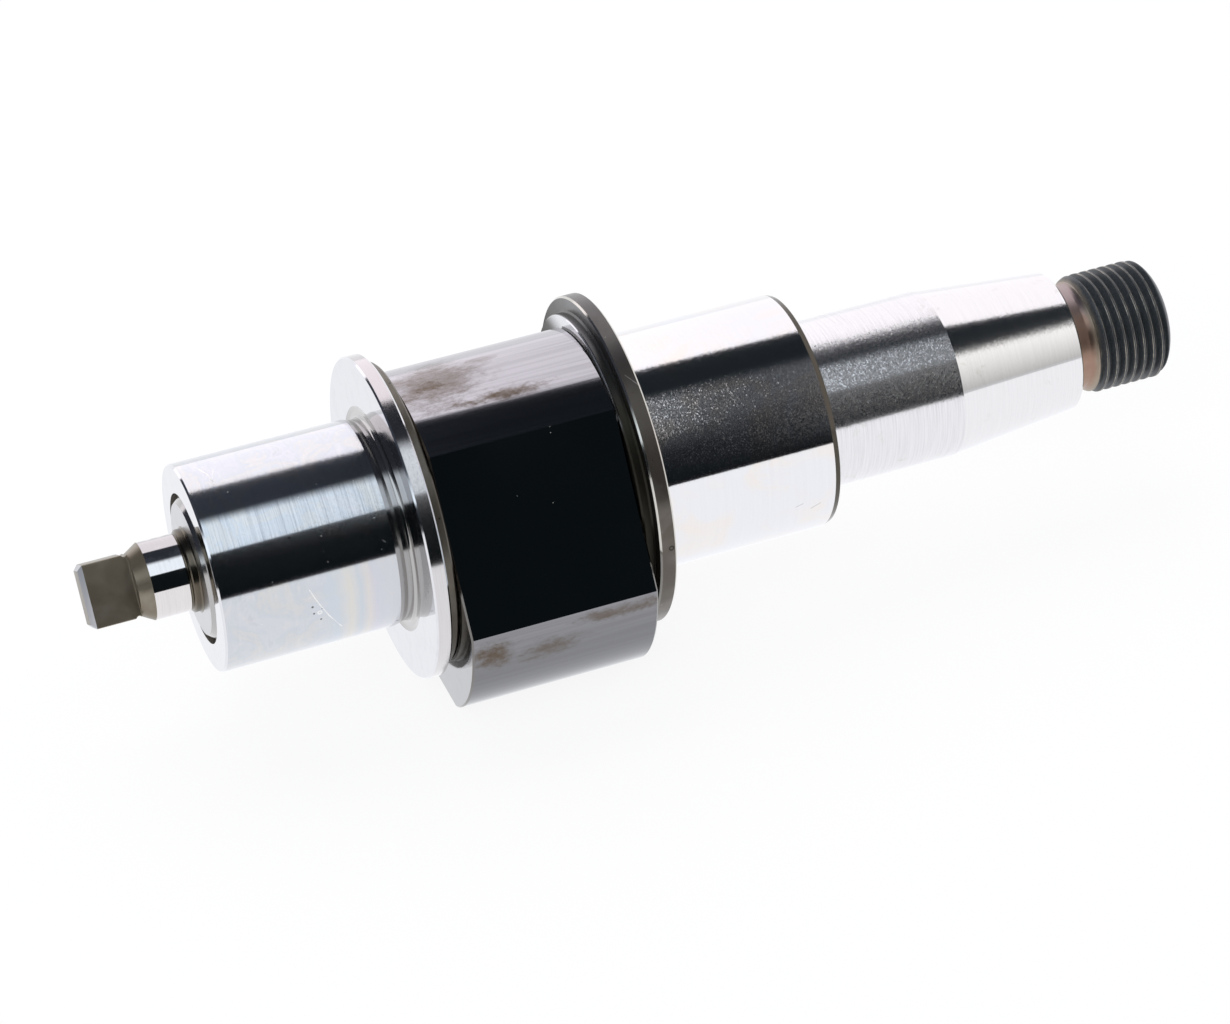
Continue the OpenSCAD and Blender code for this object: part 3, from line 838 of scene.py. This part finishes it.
def build_tang():
    """Lofts the tang's rounded rectangle, its wide way parallel to the eccentric's offset."""
    w, t, c = TANG_W / 2, TANG_T / 2, TANG_CH
    foot = X_ROOT - TANG_FOOT
    sections = ((X_TANG, w - c, t - c), (X_TANG + c, w, t), (foot - NOTCH_LEN, w, t),
                (foot - NOTCH_LEN * 0.7, w - NOTCH * 0.8, t),
                (foot - NOTCH_LEN * 0.5, w - NOTCH, t), (foot - NOTCH_LEN * 0.3, w - NOTCH, t),
                (foot, w - NOTCH / 2, t),
                (X_ROOT, w - NOTCH / 2, t + TANG_FOOT))
    bm = bmesh.new()
    wide = Vector((0, -math.sin(ROLL), -math.cos(ROLL)))
    thin = Vector((0, -math.cos(ROLL), math.sin(ROLL)))
    rings = []
    for x, hw, ht in sections:
        ring = []
        for a, b in rounded_rectangle(hw, ht):
            co = wide * a + thin * b
            co.x = x + SHIFT
            ring.append(bm.verts.new(co * MM))
        rings.append(ring)
    for k, (p, q) in enumerate(zip(rings, rings[1:])):
        for i in range(len(p)):
            j = (i + 1) % len(p)
            bm.faces.new([p[i], p[j], q[j], q[i]]).material_index = 1 if k == 0 else 0
    bm.faces.new(rings[0][::-1])
    bm.faces.new(rings[-1])
    obj = finish_mesh("drive_tang", bm, ("tang", "tang_edge"), "shaft", "shaft")
    obj.data.set_sharp_from_angle(angle=math.radians(35))


RING_FLATS = (-90.0, 30.0, 150.0)       # where the flats' middles are, in degrees
FLAT_STEPS, ROUND_STEPS = 32, 48
# the faces across the ring, from the bore's edge on the tang side over the outside and back; None
# is the outside itself, which is a flat or a round part
RING_FACES = ("ring_face", "ring_face", "ring_edge", None, "ring_edge", "ring_face", "ring_face",
              "ring_face")
OUTER_EDGES = (2, 3, 4)


def off_flat(deg):
    """The angle to the middle of the nearest flat."""
    return min(abs((deg - f + 180) % 360 - 180) for f in RING_FLATS)


def ring_angles(spread):
    """The angles of the ring's loops, with one exactly at each corner of a flat."""
    angles = set()
    between = 120 - 2 * spread
    for f in RING_FLATS:
        angles.update(f - spread + 2 * spread * i / FLAT_STEPS for i in range(FLAT_STEPS + 1))
        angles.update(f + spread + between * i / ROUND_STEPS for i in range(1, ROUND_STEPS))
    return sorted(a % 360 for a in angles)


def build_ring():
    """The three-flat ring: one loop of points at each angle."""
    half = ECC_LEN / 2 - RING_PLAY
    mid = X_ECC + ECC_LEN / 2 + SHIFT
    bore = ECC_R + BUSH_GAP + BUSH_T
    spread = math.degrees(math.acos(RING_FLAT / RING_R))
    angles = ring_angles(spread)
    bm = bmesh.new()
    loops = []
    for deg in angles:
        flat = off_flat(deg) < spread + 1e-6
        scale = 1 / math.cos(math.radians(off_flat(deg))) if flat else 1.0
        outer = RING_FLAT * scale if flat else RING_R
        face_edge = min((RING_FLAT - FLAT_CH) * scale if flat else RING_R, RING_R - RING_CH)
        y, z = math.cos(math.radians(deg)), math.sin(math.radians(deg))
        outline = ((-half + RING_CH, bore), (-half, bore + RING_CH), (-half, face_edge),
                   (-half + RING_CH, outer), (half - RING_CH, outer), (half, face_edge),
                   (half, bore + RING_CH), (half - RING_CH, bore))
        loops.append([bm.verts.new(((mid + x) * MM, (ECC_Y + r * y) * MM, (ECC_Z + r * z) * MM))
                      for x, r in outline])
    used = ["ring_face", "ring_edge", "ring_round", "ring_flat"]
    for i, (a, b) in enumerate(zip(loops, loops[1:] + loops[:1])):
        width = (angles[(i + 1) % len(angles)] - angles[i]) % 360
        outside = "ring_flat" if off_flat(angles[i] + width / 2) < spread else "ring_round"
        for k, name in enumerate(RING_FACES):
            m = (k + 1) % len(RING_FACES)
            bm.faces.new([a[k], b[k], b[m], a[m]]).material_index = used.index(name or outside)
            bm.edges.get((a[k], b[k])).smooth = False
        if abs(off_flat(angles[i]) - spread) < 1e-4:
            for k in OUTER_EDGES:
                bm.edges.get((a[k], a[k + 1])).smooth = False
    finish_mesh("ring_polygon", bm, used, "ring", "polygon_ring")


MATS = build_materials()
build_sleeve()
build_shaft()
build_thread()
build_tang()
build_ring()
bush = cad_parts["ring_bush"]
bush.data.materials.clear()
bush.data.materials.append(MATS["bronze"])


# ------------------------------------------------------------------ floor, light and camera
# What the metal sees, as linear light in which 1 is white; left and right are the tang's and the
# thread's side.
WALL_LEFT, WALL_RIGHT = (1.46, 1.41, 1.48), (1.22, 1.19, 1.23)
BOX_LEFT, BOX_FOOT, BOX_RIGHT = (1.13, 1.25, 1.37), (1.20, 1.19, 1.19), (1.15, 1.14, 1.12)
DARK_LEFT, DARK_RIGHT = (0.046, 0.052, 0.068), (0.013, 0.017, 0.021)
DARK_LOW = (0.006, 0.0085, 0.010)
HAZE, GLOW = (0.024, 0.027, 0.034), (0.150, 0.150, 0.155)
TABLE, NO_TABLE = (1.06, 1.07, 1.10), (0.01, 0.01, 0.012)
WHITE = (1.0, 1.0, 1.0)
SHADOW = 0.10
FLOOR_HALF, FLOOR_GAP = 3.0, 0.00002    # metres
LAMPS = (                # name, place and size in metres, watts
    ("overhead", (-0.15, 0.55, 0.95), 0.9, 7.0),
    ("front_fill", (-0.7, -0.8, 0.7), 0.8, 4.0))
CAMERA_AT = Vector((-173.2, -472.7, 348.5))
CAMERA_RIGHT, CAMERA_UP = Vector((0.9333, -0.3546, -0.0564)), Vector((0.2504, 0.5301, 0.8101))
LENS, SENSOR = 122.78, 36.0


def build_world():
    """White to the camera. To metal it is the studio: a bright wall above and behind, a soft box
    high in front on the left, a second one on the right, and darkness between them."""
    world = bpy.data.worlds.new("studio")
    bpy.context.scene.world = world
    world.use_nodes = True
    world.node_tree.nodes.clear()
    g = Graph(world.node_tree)
    x, y, z = g.split(g.node("TexCoord", out=0))
    front = g.mul(y, -1.0)

    def side(a, b, c, soft):
        """1 where a x + b front + c z is above 0."""
        value = g.add(g.add(g.mul(x, a), g.mul(front, b)), g.mul(z, c))
        return g.step(value, g.mul(soft, -1.0), soft)

    def below(deg, soft):
        """1 in front of the plane that rises from the table's edge at deg degrees."""
        s, c = math.sin(math.radians(deg)), math.cos(math.radians(deg))
        return side(0.0, s, -c, soft)

    colour = g.mix(below(60, 0.3), g.mix(g.step(x, 0.17, 0.24), DARK_LEFT, DARK_RIGHT), DARK_LOW)
    haze = g.mul(g.mul(below(80, 0.09), g.step(z, -0.1, 0.95)),
                 g.band(x, 0.262, 0.285, 0.33, 0.37))
    colour = g.mix(haze, colour, HAZE)
    glow = g.mul(below(80, 0.10), g.band(x, 0.3105, 0.313, 0.36, 0.42))
    colour = g.mix(g.mul(glow, g.step(z, -0.15, 0.55)), colour, GLOW)
    # the left box ends in a soft foot on its right
    foot = g.blend(g.step(x, 0.205, 0.235), 0.012, 0.38)
    box = g.mul(g.mul(below(82, 0.11), g.sub(1.0, below(46, foot))),
                g.sub(1.0, g.step(x, 0.232, 0.268)))
    colour = g.mix(box, colour, g.mix(g.step(x, 0.21, 0.25), BOX_LEFT, BOX_FOOT))
    # the right box is brighter towards its top
    box = g.mul(side(0.795, 0.0, -0.607, 0.035), g.step(x, 0.44, 0.49))
    level = g.mul(box, g.add(0.52, g.mul(g.math("MAXIMUM", z, 0.0), 0.75)))
    colour = g.mix(level, colour, BOX_RIGHT)
    wall = g.mix(g.step(x, 0.2, 0.3), WALL_LEFT, WALL_RIGHT)
    colour = g.mix(side(0.70, -0.533, -0.475, 0.008), colour, wall)
    path = g.tree.nodes.new("ShaderNodeLightPath")
    colour = g.mix(path.outputs["Is Camera Ray"], colour, WHITE)
    out = g.tree.nodes.new("ShaderNodeOutputWorld")
    g.put(out.inputs[0], g.node("Background", Color=colour))


def build_floor():
    """A white table that ends in front of the shaft. The camera sees it white, but for a faint
    shadow: SHADOW is the share of its lit surface in what the camera sees."""
    m, g = material("table")
    path = g.tree.nodes.new("ShaderNodeLightPath")
    x, y, _ = g.split(g.node("TexCoord", out=3))
    right = g.step(g.add(x, g.mul(y, 0.45)), 0.0, 0.06)
    table = g.math("MAXIMUM", g.step(y, -0.43, -0.39), g.mul(right, 0.6))
    seen = g.node("Emission", Color=WHITE, Strength=1.0)
    lit = g.node("BsdfDiffuse", Color=(0.92, 0.92, 0.93))
    to_camera = g.node("MixShader", Fac=SHADOW, i1=seen, i2=lit)
    mirrored = g.node("Emission", Color=g.mix(table, NO_TABLE, TABLE), Strength=1.0)
    shader = g.node("MixShader", Fac=path.outputs["Is Camera Ray"], i1=lit, i2=to_camera)
    shader = g.node("MixShader", Fac=path.outputs["Is Glossy Ray"], i1=shader, i2=mirrored)
    out = g.tree.nodes.new("ShaderNodeOutputMaterial")
    g.put(out.inputs["Surface"], shader)
    mesh = bpy.data.meshes.new("floor")
    z = FLOOR_Z * MM - FLOOR_GAP
    corners = ((-1, -1), (1, -1), (1, 1), (-1, 1))
    mesh.from_pydata([(a * FLOOR_HALF, b * FLOOR_HALF, z) for a, b in corners], [], [(0, 1, 2, 3)])
    mesh.materials.append(m)
    floor = bpy.data.objects.new("floor", mesh)
    bpy.context.scene.collection.objects.link(floor)


def build_lamps():
    """Two plain soft lamps, which metal doesn't mirror."""
    for name, place, size, energy in LAMPS:
        lamp = bpy.data.lights.new(name, "AREA")
        lamp.size = size
        lamp.energy = energy
        obj = bpy.data.objects.new(name, lamp)
        obj.location = place
        obj.rotation_euler = Vector(place).to_track_quat("Z", "Y").to_euler()
        obj.visible_glossy = False
        bpy.context.scene.collection.objects.link(obj)


def build_camera():
    """The camera that was fitted to the photograph's end circles and outlines."""
    camera = bpy.data.cameras.new("camera")
    camera.sensor_fit = "HORIZONTAL"
    camera.sensor_width = SENSOR
    camera.lens = LENS
    camera.clip_start, camera.clip_end = 0.05, 20.0
    obj = bpy.data.objects.new("camera", camera)
    right = CAMERA_RIGHT.normalized()
    back = right.cross(CAMERA_UP).normalized()
    turn = Matrix((right, back.cross(right), back)).transposed().to_4x4()
    obj.matrix_world = Matrix.Translation(CAMERA_AT * MM) @ turn
    bpy.context.scene.collection.objects.link(obj)
    bpy.context.scene.camera = obj


build_world()
build_floor()
build_lamps()
build_camera()
bpy.context.scene.view_settings.view_transform = "Standard"
